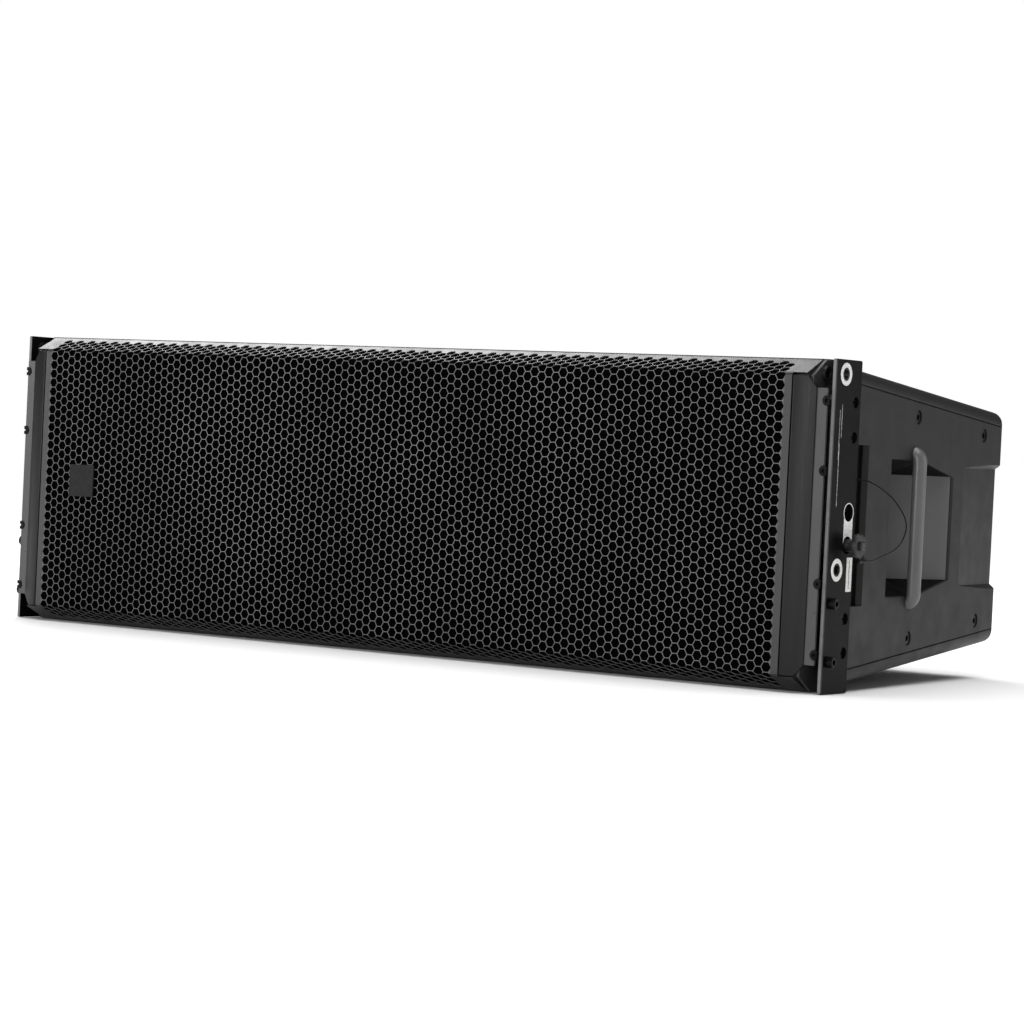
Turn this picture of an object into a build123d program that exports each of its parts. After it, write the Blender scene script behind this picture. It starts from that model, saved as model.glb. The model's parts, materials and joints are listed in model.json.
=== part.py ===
"""Line array loudspeaker element: a wide, tapered three-way cabinet that hangs in a column of its own kind.

Frame: +X to the right seen from the front, +Y to the rear, +Z up, millimetres.
Origin: the middle of the footprint, level with the lower ends of the rigging plates.
Depths are measured back from the grille's flat face; back(d) turns one into a Y coordinate.
The right-hand side is modelled, and the left-hand side is its mirror image.
"""

from build123d import *
import os
from math import cos, pi, radians, sin, tan

os.makedirs("parts", exist_ok=True)

# Driving dimensions
WIDTH = 1150.0          # across the outer faces of the rigging plates
HEIGHT = 350.0          # rigging plates and front frame
DEPTH = 489.0           # grille face to the rear edge
TAPER = 4.7             # slope of the top and bottom panels, degrees
PLAN_TAPER = 5.0        # inward angle of the sides, degrees
BOARD = 16.0            # top and bottom panels
REAR_ROUND = 14.0       # rounding of the rear edges in side view
CORNER_ROUND = 12.0     # rounding of the rear corners seen from above
SIDE_T = 15.0           # side panels and back panel
BADGE_T = 2.0           # how far the badge stands off the grille

MID_Z = HEIGHT / 2
HALF_W = WIDTH / 2
GRILLE_Y = -(DEPTH - BADGE_T) / 2

# Front: grille, frame and end caps
GRILLE_HALF = 530.0     # half width of the perforated panel
GRILLE_T = 1.5
BEVEL_D = 34.0          # depth of the sloped top and bottom of the grille
BEVEL_H = 17.0          # height of those slopes
SKIN_EDGE = 0.5         # grille edge inside the frame's outline
CAP_IN, CAP_OUT, CAP_SET = 534.5, 556.5, 7.8
FRAME_HALF = 547.4      # the frame's outer side, and the mouth's inner wall
FRAME_T = 14.0

# Shell
SHELL_D = 66.0          # where the tapered cabinet starts
SHELL_Z = 7.0           # step from the frame down to the cabinet
SHELL_HALF = 571.15     # half width of the cabinet at its front
BAFFLE_T = 18.0
PARTITION_X = 235.0     # walls of the two woofer chambers
# Slot behind the rigging plate: a flat floor, a wall, and a sloped lip up to the panel's surface
SLOT_DEEP, SLOT_D1, SLOT_LIP, SLOT_LIP_D1, SLOT_Z0, SLOT_Z1 = 12.0, 99.0, 4.5, 106.0, 91.0, 262.0
CORD_D = 1.4            # lanyard wire
ANCHOR_D, ANCHOR_Z = 71.5, 225.0
FITTING_R = 2.2         # the lanyard's anchor and ferrule

# Rigging, each value on the right-hand side
PLATE_T, PLATE_D0, PLATE_D1, PLATE_CORNER = 4.5, 15.0, 69.5, 1.8
REBATE_GAP = 0.1        # room round the plate where it laps over the shell
WEB_T = 4.0
FLANGE_D0, FLANGE_T, FLANGE_OUT = 9.0, 3.0, 568.5
STRIP_Z0, STRIP_Z1 = 30.0, 319.0
SPACER_D0 = 50.5
BORE_R = 5.25
BORE_D = 34.4
BORE_Z_LOW, BORE_Z_TOP = 130.0, 334.5
BUSH_R, BUSH_LIP = 8.5, 0.6
LINK_X0, LINK_X1 = 555.0, 567.0
LINK_D0, LINK_D1 = 20.0, 49.5
LINK_END = 12.0         # from a link eye to the end of the bar
LINK_LOW_EYE = 155.0
EYE_PITCH = HEIGHT + BORE_Z_LOW - BORE_Z_TOP
STOP_Z, STOP_H = LINK_LOW_EYE - 6, 10.0     # ledge that the parked link rests on
STOP_D0, STOP_D1 = 21.0, 25.0
PIN_D, PIN_Z, LOCK_Z = 54.8, 156.0, 190.0
ACCESS_R = 9.3          # access holes round the pin and the lock position
PIN_R, PIN_REACH = 4.0, 12.0
PIN_CLEAR = 0.05        # radial clearance of pins and pivots
COLLAR_R = 6.6
HEAD_X0, HEAD_X1, HEAD_R = 587.0, 591.5, 13.0
BUTTON_HALF, BUTTON_PROUD, BUTTON_TRAVEL = 4.5, 3.5, 2.0
SCREW_D = 58.5
PLATE_SCREW_Z = (42.5, 78.5, 269.0, 306.0)
SCREW_HOLE_R, SCREW_R, SCREW_LEN = 6.2, 2.5, 12.0
SCREW_SINK = 3.0        # how far the plate screws' heads lie below the plate's face
STUDS = ((25.5, 34.0), (25.5, 95.0))
STUD_SHANK_R, STUD_R, STUD_PROUD = 3.0, 6.0, 8.0
FLANGE_SCREW_Z = (41.0, 115.0, 233.0, 306.0)
FLANGE_NOTCH_R = 5.5
RING_R = 12.0           # outer flange of a bore's bush

# Handles
BAR_D, BAR_Z = 233.0, 174.0
BAR_LEN, BAR_A, BAR_B = 181.0, 7.0, 10.0
BAR_OUT = 5.0           # bar centre beyond the panel's surface
BAR_LEG = 26.0
CUP_D0, CUP_D1, CUP_D2 = 167.0, 250.0, 343.0
CUP_HALF_FRONT, CUP_HALF_REAR = 75.0, 58.0
CUP_DEPTH, CUP_WALL, CUP_RIM = 38.0, 3.0, 2.0
SIDE_SCREWS = ((235.0, 296.0), (427.0, 281.0), (235.0, 53.0), (427.0, 68.0))
SIDE_SHANK_R, SIDE_HEAD_R, SIDE_SINK = 3.1, 7.0, 4.0

# Drive units
WOOFER_X, WOOFER_R = 376.0, 150.0
MID_X, MID_OFFSET, MID_R = 155.0, 75.0, 70.0
HOLE_SHARE = 0.907      # baffle cut-out as a share of a drive unit's radius
SCREW_INSET = 8.0       # woofer screws in from the frame's edge
HORN_HALF, HORN_HALF_H, HORN_WALL = 80.0, 150.0, 4.0
THROAT_D, THROAT_HALF, THROAT_HALF_H = 165.0, 13.0, 118.0
HF_R, HF_LEN, HF_OFFSET = 46.0, 62.0, 62.0
BADGE_X, BADGE_SIZE = 461.7, 39.0

# Rear
PAN_HALF, PAN_Z0, PAN_Z1, PAN_D0, PAN_T = 62.0, 58.0, 292.0, 438.0, 3.0
NOTCH_HALF = 14.0       # half width of the gap that the rear link swings through
REAR_PIVOT_D, REAR_PIVOT_Z = 460.0, 270.0
REAR_PIN_Z = 74.0
REAR_LINK_LEN = HEIGHT + REAR_PIN_Z - REAR_PIVOT_Z
REAR_LINK_HALF = 6.0    # half thickness of the rear link
CHEEK_IN, CHEEK_OUT, CHEEK_D1 = 8.0, 13.0, 476.0
PIVOT_R = 6.0
REAR_HEAD_R = 11.0
INPUT_X, INPUT_W, INPUT_H = 180.0, 176.0, 92.0
INPUT_T, INPUT_SET, INPUT_LEDGE = 3.0, 4.0, 9.0
SOCKET_PITCH, SOCKET_R, SOCKET_LEN = 62.0, 13.5, 34.0
SOCKET_FLANGE = (34.0, 38.0)     # width and height of a socket's flange
GRIP_X, GRIP_HALF_W, GRIP_HALF_H, GRIP_DEEP = 482.0, 20.0, 62.0, 30.0


def back(depth):
    """Y of a point so far behind the grille's face."""
    return GRILLE_Y + depth


def save(part, name):
    """Labels one finished node and writes its STEP file."""
    part.label = name
    export_step(part, f"parts/{name}.step")


def save_pair(part, name):
    """Writes a right-hand piece and its mirror image."""
    save(part, f"{name}_right")
    save(mirror(part, about=Plane.YZ), f"{name}_left")


def both(part):
    """The piece and its mirror image as one group of solids."""
    return Compound(children=[*part.solids(), *mirror(part, about=Plane.YZ).solids()])


def top_z(depth):
    """Height of the cabinet's outer top surface."""
    return HEIGHT - SHELL_Z - (depth - SHELL_D) * tan(radians(TAPER))


def side_x(depth):
    """Half width of the cabinet's outer side surface."""
    return SHELL_HALF - (depth - SHELL_D) * tan(radians(PLAN_TAPER))


def yz_prism(points, x0, x1):
    """A solid from a (depth, z) outline, between two X positions."""
    with BuildPart() as prism:
        with BuildSketch(Plane.YZ.offset(x0)):
            with BuildLine():
                Polyline(*[(back(d), z) for d, z in points], close=True)
            make_face()
        extrude(amount=x1 - x0)
    return prism.part


def xy_prism(points, z0, z1):
    """A solid from an (x, depth) outline, between two heights."""
    with BuildPart() as prism:
        with BuildSketch(Plane.XY.offset(z0)):
            with BuildLine():
                Polyline(*[(x, back(d)) for x, d in points], close=True)
            make_face()
        extrude(amount=z1 - z0)
    return prism.part


def side_plane(depth, z, out):
    """A plane parallel to the right side's surface, so far outside it, centred on a point of it."""
    normal = (cos(radians(PLAN_TAPER)), sin(radians(PLAN_TAPER)), 0)
    plane = Plane(origin=(side_x(depth), back(depth), z), x_dir=(0, 0, 1), z_dir=normal)
    return plane.offset(out)


def wedge(side_inset, top_inset, front, rear):
    """A block of the tapered cabinet, set in from its sides and its top and bottom."""
    xf, xr = side_x(front) - side_inset, side_x(rear) - side_inset
    zf, zr = top_z(front) - top_inset, top_z(rear) - top_inset
    with BuildPart() as block:
        add(xy_prism([(-xf, front), (xf, front), (xr, rear), (-xr, rear)], 0, HEIGHT))
        profile = [(front, HEIGHT - zf), (rear, HEIGHT - zr), (rear, zr), (front, zf)]
        add(yz_prism(profile, -HALF_W, HALF_W), mode=Mode.INTERSECT)
    return block.part


def block(x0, x1, d0, d1, z0, z1):
    """A box between two X positions, two depths and two heights."""
    return xy_prism([(x0, d0), (x1, d0), (x1, d1), (x0, d1)], z0, z1)


def rod_x(depth, z, radius, x0, x1):
    """A round bar along X."""
    with BuildPart() as rod:
        with BuildSketch(Plane.YZ.offset(x0)):
            with Locations((back(depth), z)):
                Circle(radius)
        extrude(amount=x1 - x0)
    return rod.part


def rod_y(x, z, radius, d0, d1):
    """A round bar along Y."""
    with BuildPart() as rod:
        with BuildSketch(Plane.XZ.offset(-back(d0))):
            with Locations((x, z)):
                Circle(radius)
        extrude(amount=-(d1 - d0))
    return rod.part


def spun(x, z, points):
    """A ring or disc turned about a drive unit's axis, from (radius, depth) points."""
    with BuildPart() as turned:
        with BuildSketch(Plane.XY.offset(z)):
            with BuildLine():
                Polyline(*[(x + r, back(d)) for r, d in points], close=True)
            make_face()
        revolve(axis=Axis((x, 0, z), (0, 1, 0)))
    return turned.part


# ---------------------------------------------------------------- cabinet shell

with BuildPart() as envelope:
    add(wedge(0, 0, SHELL_D, DEPTH))
    rear_corners = envelope.edges().filter_by(Axis.Z).group_by(Axis.Y)[-1]
    fillet(rear_corners, radius=CORNER_ROUND)
    rear_edges = envelope.faces().filter_by(GeomType.PLANE).sort_by(Axis.Y)[-1].edges()
    fillet(rear_edges.filter_by(Axis.X), radius=REAR_ROUND)
    for side in (-1, 1):
        add(block(side * (HALF_W - PLATE_T - REBATE_GAP), side * HALF_W, 0,
                  PLATE_D1 + REBATE_GAP, 0, HEIGHT), mode=Mode.SUBTRACT)

with BuildPart() as top_panel:
    add(envelope.part)
    lower = [(SHELL_D - 1, 0), (DEPTH + 1, 0), (DEPTH + 1, top_z(DEPTH + 1) - BOARD),
             (SHELL_D - 1, top_z(SHELL_D - 1) - BOARD)]
    add(yz_prism(lower, -HALF_W, HALF_W), mode=Mode.SUBTRACT)
    add(block(-NOTCH_HALF, NOTCH_HALF, PAN_D0 + PAN_T, DEPTH + 1, 0, HEIGHT), mode=Mode.SUBTRACT)
save(top_panel.part, "top_panel")
save(mirror(top_panel.part, about=Plane.XY.offset(MID_Z)), "bottom_panel")

with BuildPart() as front_frame:
    add(block(-FRAME_HALF, FRAME_HALF, BEVEL_D, SHELL_D, 0, HEIGHT))
    add(block(-GRILLE_HALF, GRILLE_HALF, BEVEL_D, SHELL_D, FRAME_T, HEIGHT - FRAME_T),
        mode=Mode.SUBTRACT)
save(front_frame.part, "front_frame")

with BuildPart() as front_baffle:
    add(wedge(SIDE_T, BOARD, SHELL_D, SHELL_D + BAFFLE_T))
    with BuildSketch(Plane.XZ.offset(-back(SHELL_D - 1))):
        with Locations((-WOOFER_X, MID_Z), (WOOFER_X, MID_Z)):
            Circle(WOOFER_R * HOLE_SHARE)
        with GridLocations(2 * MID_X, 2 * MID_OFFSET, 2, 2):
            with Locations((0, MID_Z)):
                Circle(MID_R * HOLE_SHARE)
        with Locations((0, MID_Z)):
            Rectangle(2 * HORN_HALF - 10, 2 * HORN_HALF_H - 10)
    extrude(amount=-(BAFFLE_T + 2), mode=Mode.SUBTRACT)
save(front_baffle.part, "front_baffle")

BAFFLE_BACK = SHELL_D + BAFFLE_T
BACK_D = DEPTH - SIDE_T

with BuildPart() as partitions:
    add(wedge(SIDE_T, BOARD, BAFFLE_BACK, BACK_D))
    add(block(PARTITION_X - 6, PARTITION_X + 6, BAFFLE_BACK, BACK_D, 0, HEIGHT),
        mode=Mode.INTERSECT)
save(both(partitions.part), "partitions")


def cup_loft(grow, depth0, depth1):
    """The handle pocket as a ruled loft from its opening to its floor, grown by a wall thickness."""
    def level(depth):
        share = depth / (CUP_DEPTH + grow)
        rear = CUP_D2 + (CUP_D1 - CUP_D2) * share + grow
        half = CUP_HALF_FRONT + (CUP_HALF_REAR - CUP_HALF_FRONT) * share + grow
        rear_half = CUP_HALF_REAR + grow
        front = CUP_D0 + 3 * share - grow
        middle = CUP_D1 - 1.5 + grow
        outline = [(front, half), (middle, half), (rear, rear_half - 0.4 * share),
                   (rear, -rear_half + 0.4 * share), (middle, -half), (front, -half)]
        return Plane(origin=(SHELL_HALF - depth, 0, 0), x_dir=(0, 1, 0), z_dir=(1, 0, 0)), outline

    with BuildPart() as pocket:
        for depth in (depth0, depth1):
            plane, outline = level(depth)
            with BuildSketch(plane):
                with BuildLine():
                    Polyline(*[(back(d), BAR_Z + z) for d, z in outline], close=True)
                make_face()
        loft(ruled=True)
    turn = Axis((SHELL_HALF, back(SHELL_D), 0), (0, 0, 1))
    return pocket.part.rotate(turn, PLAN_TAPER)


def bar_profile_path(clear):
    """The handle bar: an oval section that runs straight and turns in to the panel at both ends."""
    x_bar = side_x(BAR_D) + BAR_OUT
    half = BAR_LEN / 2 - BAR_A
    inner = x_bar - BAR_LEG
    corner = 11.0
    with BuildPart() as bar:
        with BuildLine() as path:
            FilletPolyline((inner, back(BAR_D), BAR_Z - half), (x_bar, back(BAR_D), BAR_Z - half),
                           (x_bar, back(BAR_D), BAR_Z + half), (inner, back(BAR_D), BAR_Z + half),
                           radius=corner)
        with BuildSketch(Plane(origin=path.line @ 0, x_dir=(0, 1, 0), z_dir=path.line % 0)):
            Ellipse(BAR_B + clear, BAR_A + clear)
        sweep()
    return bar.part


def rear_scoop():
    """A shallow hand recess in the side panel, deepest at the rear edge, with sloped ends."""
    length, deep, half = 118.0, 9.5, 62.0
    slope = deep / length
    with BuildPart() as scoop:
        with BuildSketch(Plane.XY.offset(BAR_Z + 2 - half - deep)):
            with BuildLine():
                Polyline((0, 0), (0, length + 4), (-deep - 4 * slope, length + 4), close=True)
            make_face()
        extrude(amount=2 * (half + deep))
        ends = scoop.edges().filter_by(lambda e: abs(e.center().X + deep / 2) < 2
                                       and e.length > length / 2)
        chamfer(ends, length=4.5, length2=7.0)
    turned = scoop.part.rotate(Axis.Z, PLAN_TAPER)
    return Pos(side_x(DEPTH - length), back(DEPTH - length), 0) * turned


with BuildPart() as side_panel:
    add(wedge(0, BOARD, SHELL_D, DEPTH))
    add(wedge(SIDE_T, BOARD - 1, SHELL_D - 1, DEPTH + 1), mode=Mode.SUBTRACT)
    add(block(0, HALF_W, 0, DEPTH + 1, 0, HEIGHT), mode=Mode.INTERSECT)
    outer_face = side_panel.faces().sort_by(SortBy.AREA)[-2:].sort_by(Axis.X)[-1]
    chamfer(outer_face.edges().filter_by(lambda e: e.length > 300), length=1.4)
    add(envelope.part, mode=Mode.INTERSECT)
    slot_outline = [(SHELL_HALF - SLOT_DEEP, SHELL_D - 1), (HALF_W, SHELL_D - 1),
                    (HALF_W, SLOT_LIP_D1), (side_x(SLOT_LIP_D1), SLOT_LIP_D1),
                    (side_x(SLOT_D1) - SLOT_LIP, SLOT_D1), (SHELL_HALF - SLOT_DEEP, SLOT_D1)]
    add(xy_prism(slot_outline, SLOT_Z0, SLOT_Z1), mode=Mode.SUBTRACT)
    add(cup_loft(0, 0, CUP_DEPTH), mode=Mode.SUBTRACT)
    add(cup_loft(CUP_WALL, CUP_RIM, CUP_DEPTH + CUP_WALL), mode=Mode.SUBTRACT)
    add(bar_profile_path(0.3), mode=Mode.SUBTRACT)
    add(rear_scoop(), mode=Mode.SUBTRACT)
    for depth, z in SIDE_SCREWS:
        with Locations(side_plane(depth, z, 0)):
            CounterBoreHole(radius=SIDE_SHANK_R + 0.1, counter_bore_radius=SIDE_HEAD_R + 1,
                            counter_bore_depth=SIDE_SINK)
save_pair(side_panel.part, "side_panel")


with BuildPart() as back_panel:
    add(wedge(SIDE_T, BOARD, BACK_D, DEPTH))
    add(envelope.part, mode=Mode.INTERSECT)
    add(block(-PAN_HALF, PAN_HALF, BACK_D - 1, DEPTH + 1, PAN_Z0, PAN_Z1), mode=Mode.SUBTRACT)
    add(block(-NOTCH_HALF, NOTCH_HALF, BACK_D - 1, DEPTH + 1, 0, HEIGHT), mode=Mode.SUBTRACT)
    with BuildSketch(Plane.XZ.offset(-back(BACK_D - 1))):
        with Locations((INPUT_X, MID_Z)):
            Rectangle(INPUT_W - 2 * INPUT_LEDGE, INPUT_H - 2 * INPUT_LEDGE)
        with Locations((-GRIP_X, MID_Z), (GRIP_X, MID_Z)):
            RectangleRounded(2 * GRIP_HALF_W, 2 * GRIP_HALF_H, GRIP_HALF_W - 4)
    extrude(amount=-(SIDE_T + 2), mode=Mode.SUBTRACT)
    with BuildSketch(Plane.XZ.offset(-back(DEPTH - INPUT_SET - INPUT_T))):
        with Locations((INPUT_X, MID_Z)):
            Rectangle(INPUT_W, INPUT_H)
    extrude(amount=-(INPUT_SET + INPUT_T + 1), mode=Mode.SUBTRACT)
save(back_panel.part, "back_panel")

with BuildPart() as grip_cup:
    with BuildSketch(Plane.XZ.offset(-back(BACK_D - GRIP_DEEP))):
        with Locations((GRIP_X, MID_Z)):
            RectangleRounded(2 * GRIP_HALF_W, 2 * GRIP_HALF_H, GRIP_HALF_W - 4)
    extrude(amount=-(GRIP_DEEP + SIDE_T - 1))
    back_face = grip_cup.faces().sort_by(Axis.Y)[-1]
    offset(amount=-PAN_T, openings=back_face)
save(both(grip_cup.part), "rear_grip_cups")


# ---------------------------------------------------------------- front: grille, caps, badge

def bevel_outline(inset):
    """Side view of the front: a flat face with a sloped top and bottom."""
    low, corner = SKIN_EDGE + inset, BEVEL_H + inset / 2
    return [(BEVEL_D, low), (inset, corner), (inset, HEIGHT - corner), (BEVEL_D, HEIGHT - low)]


with BuildPart() as grille:
    add(yz_prism(bevel_outline(0), -GRILLE_HALF, GRILLE_HALF))
    add(yz_prism(bevel_outline(GRILLE_T), -HALF_W, HALF_W), mode=Mode.SUBTRACT)
save(grille.part, "grille")

save(block(-GRILLE_HALF + 3, GRILLE_HALF - 3, GRILLE_T + 0.5, GRILLE_T + 4.5, 19, HEIGHT - 19),
     "grille_foam")

with BuildPart() as badge:
    with BuildSketch(Plane.XZ.offset(-back(0))):
        with Locations((-BADGE_X, MID_Z - 0.2)):
            RectangleRounded(BADGE_SIZE, BADGE_SIZE, 1.2)
    extrude(amount=BADGE_T)
    chamfer(badge.faces().sort_by(Axis.Y)[0].edges(), length=0.5)
save(badge.part, "badge")

with BuildPart() as end_cap:
    add(xy_prism([(GRILLE_HALF + 1.2, 0), (CAP_IN, 0), (FRAME_HALF, CAP_SET - 3.2),
                  (FRAME_HALF, BEVEL_D), (GRILLE_HALF + 1.2, BEVEL_D)], 0, HEIGHT))
    add(xy_prism([(CAP_IN, 0), (CAP_OUT, CAP_SET), (CAP_OUT, FLANGE_D0), (CAP_IN, FLANGE_D0)],
                 STRIP_Z0, STRIP_Z1))
    add(yz_prism(bevel_outline(0), 0, HALF_W), mode=Mode.INTERSECT)
save_pair(end_cap.part, "end_cap")


# ---------------------------------------------------------------- rigging, right-hand side

WEB_X0, WEB_X1 = FRAME_HALF, FRAME_HALF + WEB_T
PLATE_X0 = HALF_W - PLATE_T

with BuildPart() as channel:
    add(block(WEB_X0, WEB_X1, FLANGE_D0, SHELL_D, 0, HEIGHT))
    add(yz_prism([(BEVEL_D + 1, -1), (BEVEL_D + 1, 1), (FLANGE_D0 - 1, STRIP_Z0 - 12),
                  (FLANGE_D0 - 1, -1)], 0, HALF_W), mode=Mode.SUBTRACT)
    add(yz_prism([(BEVEL_D + 1, HEIGHT + 1), (BEVEL_D + 1, HEIGHT - 1),
                  (FLANGE_D0 - 1, STRIP_Z1 + 12), (FLANGE_D0 - 1, HEIGHT + 1)], 0, HALF_W),
        mode=Mode.SUBTRACT)
    add(block(WEB_X0, FLANGE_OUT, FLANGE_D0, FLANGE_D0 + FLANGE_T, STRIP_Z0, STRIP_Z1))
    with BuildSketch(Plane.XZ.offset(-back(FLANGE_D0 - 1))):
        with Locations(*[(FLANGE_OUT, z) for z in FLANGE_SCREW_Z]):
            Circle(FLANGE_NOTCH_R)
    extrude(amount=-(FLANGE_T + 2), mode=Mode.SUBTRACT)
    add(block(WEB_X1 - 1, LINK_X0 - 0.4, STOP_D0, STOP_D1, STOP_Z - STOP_H, STOP_Z))
    for z in (BORE_Z_LOW, BORE_Z_TOP):
        add(rod_x(BORE_D, z, BUSH_R, WEB_X0 - 1, WEB_X1 + 1), mode=Mode.SUBTRACT)
save_pair(channel.part, "rigging_channel")

with BuildPart() as plate:
    with BuildSketch(Plane.YZ.offset(PLATE_X0)):
        with Locations((back((PLATE_D0 + PLATE_D1) / 2), MID_Z)):
            RectangleRounded(PLATE_D1 - PLATE_D0, HEIGHT, PLATE_CORNER)
        with Locations(*[(back(BORE_D), z) for z in (BORE_Z_LOW, BORE_Z_TOP)]):
            Circle(BUSH_R, mode=Mode.SUBTRACT)
        with Locations(*[(back(PIN_D), z) for z in (PIN_Z, LOCK_Z)]):
            Circle(ACCESS_R, mode=Mode.SUBTRACT)
        with Locations(*[(back(SCREW_D), z) for z in PLATE_SCREW_Z]):
            Circle(SCREW_HOLE_R, mode=Mode.SUBTRACT)
        with Locations(*[(back(d), z) for d, z in STUDS]):
            Circle(STUD_SHANK_R + 0.02, mode=Mode.SUBTRACT)
    extrude(amount=PLATE_T)
    rim = plate.faces().sort_by(Axis.X)[-1].outer_wire().edges()
    chamfer(rim, length=1.0)
save_pair(plate.part, "rigging_plate")

with BuildPart() as guide:
    add(block(WEB_X1, PLATE_X0, SPACER_D0, SHELL_D, 0, HEIGHT))
    for z in (PIN_Z, LOCK_Z):
        add(rod_x(PIN_D, z, PIN_R + PIN_CLEAR, PLATE_X0 - PIN_REACH - 1, HALF_W), mode=Mode.SUBTRACT)
    for z in PLATE_SCREW_Z:
        add(rod_x(SCREW_D, z, SCREW_R, PLATE_X0 - SCREW_LEN, HALF_W), mode=Mode.SUBTRACT)
save_pair(guide.part, "link_guide")

with BuildPart() as bushes:
    for z in (BORE_Z_LOW, BORE_Z_TOP):
        add(rod_x(BORE_D, z, BUSH_R, LINK_X1 + 0.4, HALF_W))
        add(rod_x(BORE_D, z, RING_R, HALF_W, HALF_W + BUSH_LIP))
        add(rod_x(BORE_D, z, BUSH_R, WEB_X0, LINK_X0 - 0.4))
        add(rod_x(BORE_D, z, BORE_R, WEB_X0 - 1, HALF_W + 1), mode=Mode.SUBTRACT)
save(both(bushes.part), "bore_bushes")

with BuildPart() as plate_screws:
    for z in PLATE_SCREW_Z:
        add(rod_x(SCREW_D, z, SCREW_HOLE_R - 0.2, PLATE_X0, HALF_W - SCREW_SINK))
        add(rod_x(SCREW_D, z, SCREW_R, PLATE_X0 - SCREW_LEN, PLATE_X0))
        with BuildSketch(Plane.YZ.offset(PLATE_X0 - 0.5)):
            with Locations((back(SCREW_D), z)):
                RegularPolygon(2.2, 6)
        extrude(amount=3, mode=Mode.SUBTRACT)
save(both(plate_screws.part), "plate_screws")

with BuildPart() as studs:
    for d, z in STUDS:
        add(rod_x(d, z, STUD_R, HALF_W, HALF_W + STUD_PROUD))
        add(rod_x(d, z, STUD_SHANK_R, PLATE_X0, HALF_W))
    rims = studs.faces().filter_by(Plane.YZ).group_by(Axis.X)[-1].edges()
    chamfer(rims, length=1.0)
    with BuildSketch(Plane.YZ.offset(HALF_W + STUD_PROUD - 4)):
        with Locations(*[(back(d), z) for d, z in STUDS]):
            RegularPolygon(3.2, 6)
    extrude(amount=5, mode=Mode.SUBTRACT)
save(both(studs.part), "plate_studs")

with BuildPart() as flange_screws:
    with BuildSketch(Plane.XZ.offset(-back(FLANGE_D0 + FLANGE_T))):
        with Locations(*[(FLANGE_OUT, z) for z in FLANGE_SCREW_Z]):
            Circle(FLANGE_NOTCH_R - 0.3)
    extrude(amount=FLANGE_T + 1)
    with BuildSketch(Plane.XZ.offset(-back(FLANGE_D0 + 1))):
        with Locations(*[(FLANGE_OUT, z) for z in FLANGE_SCREW_Z]):
            RegularPolygon(2.3, 6)
    extrude(amount=4, mode=Mode.SUBTRACT)
    add(block(0, PLATE_X0 - 0.3, 0, SHELL_D, 0, HEIGHT), mode=Mode.INTERSECT)
save(both(flange_screws.part), "flange_screws")

with BuildPart() as front_link:
    with BuildSketch(Plane.YZ.offset(LINK_X0)):
        with Locations((back(BORE_D), LINK_LOW_EYE + EYE_PITCH / 2)):
            RectangleRounded(LINK_D1 - LINK_D0, EYE_PITCH + 2 * LINK_END, 9)
        with Locations(*[(back(BORE_D), LINK_LOW_EYE + up) for up in (0, EYE_PITCH)]):
            Circle(BORE_R, mode=Mode.SUBTRACT)
    extrude(amount=LINK_X1 - LINK_X0)
    chamfer(front_link.edges().filter_by(GeomType.LINE).filter_by(Axis.Z), length=1)
    add(block(WEB_X1 + 0.6, LINK_X0 + 1, STOP_D0, STOP_D1, STOP_Z, STOP_Z + 4))
save_pair(front_link.part, "front_link")


def pin_head(head_x0, head_x1):
    """The round disc on the outer end of a quick-release pin, with its button's pocket."""
    with BuildPart() as head:
        add(rod_x(PIN_D, PIN_Z, HEAD_R, head_x0, head_x1))
        chamfer(head.faces().sort_by(Axis.X)[-1].edges(), length=1.2)
    return head.part


def pin_button(centre_d, centre_z, x0, x1, clear):
    """The square button in a pin's head, or its pocket when grown by a clearance."""
    half = BUTTON_HALF + clear
    return block(x0, x1, centre_d - half, centre_d + half, centre_z - half, centre_z + half)


with BuildPart() as quick_pin:
    add(rod_x(PIN_D, PIN_Z, PIN_R, PLATE_X0 - PIN_REACH, PLATE_X0))
    chamfer(quick_pin.faces().sort_by(Axis.X)[0].edges(), length=1)
    add(rod_x(PIN_D, PIN_Z, COLLAR_R, PLATE_X0, HEAD_X0))
    add(pin_head(HEAD_X0, HEAD_X1))
    add(pin_button(PIN_D, PIN_Z, HEAD_X0 - 4, HEAD_X1 + 1, 0.2), mode=Mode.SUBTRACT)
save_pair(quick_pin.part, "quick_pin")

BUTTON_BACK = HEAD_X0 - 4 + BUTTON_TRAVEL + 0.5
with BuildPart() as button:
    add(pin_button(PIN_D, PIN_Z, BUTTON_BACK, HEAD_X1 + BUTTON_PROUD, 0))
    chamfer(button.faces().sort_by(Axis.X)[-1].edges(), length=0.8)
save_pair(button.part, "pin_button")

# ---------------------------------------------------------------- lanyard of the right-hand pin

SLOT_X = SHELL_HALF - SLOT_DEEP
ANCHOR_X = SLOT_X + 4
FERRULE_D0, FERRULE_D1, FERRULE_Z = PIN_D, 69.0, PIN_Z - HEAD_R - 3.0
HEAD_X = (HEAD_X0 + HEAD_X1) / 2
CORD_ROUTE = [
    (ANCHOR_X, ANCHOR_D, ANCHOR_Z),
    (ANCHOR_X + 9, ANCHOR_D, ANCHOR_Z),
    (581.5, 79.5, 225.0),
    (586.5, 94.0, 219.5),
    (589.5, 115.0, 211.0),
    (591.0, 137.0, 198.0),
    (591.5, 156.0, 179.5),
    (591.0, 147.0, 160.0),
    (590.0, 128.0, 150.0),
    (589.5, 107.0, 145.5),
    (HEAD_X, 86.0, FERRULE_Z),
    (HEAD_X, FERRULE_D1, FERRULE_Z),
]


def cord_radii(points):
    """The largest radius that each corner of the route has room for."""
    radii = []
    for before, here, after in zip(points, points[1:], points[2:]):
        run_in, run_out = here - before, after - here
        turn = radians(run_in.get_angle(run_out))
        radii.append(0.45 * min(run_in.length, run_out.length) / tan(turn / 2))
    return radii


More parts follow.
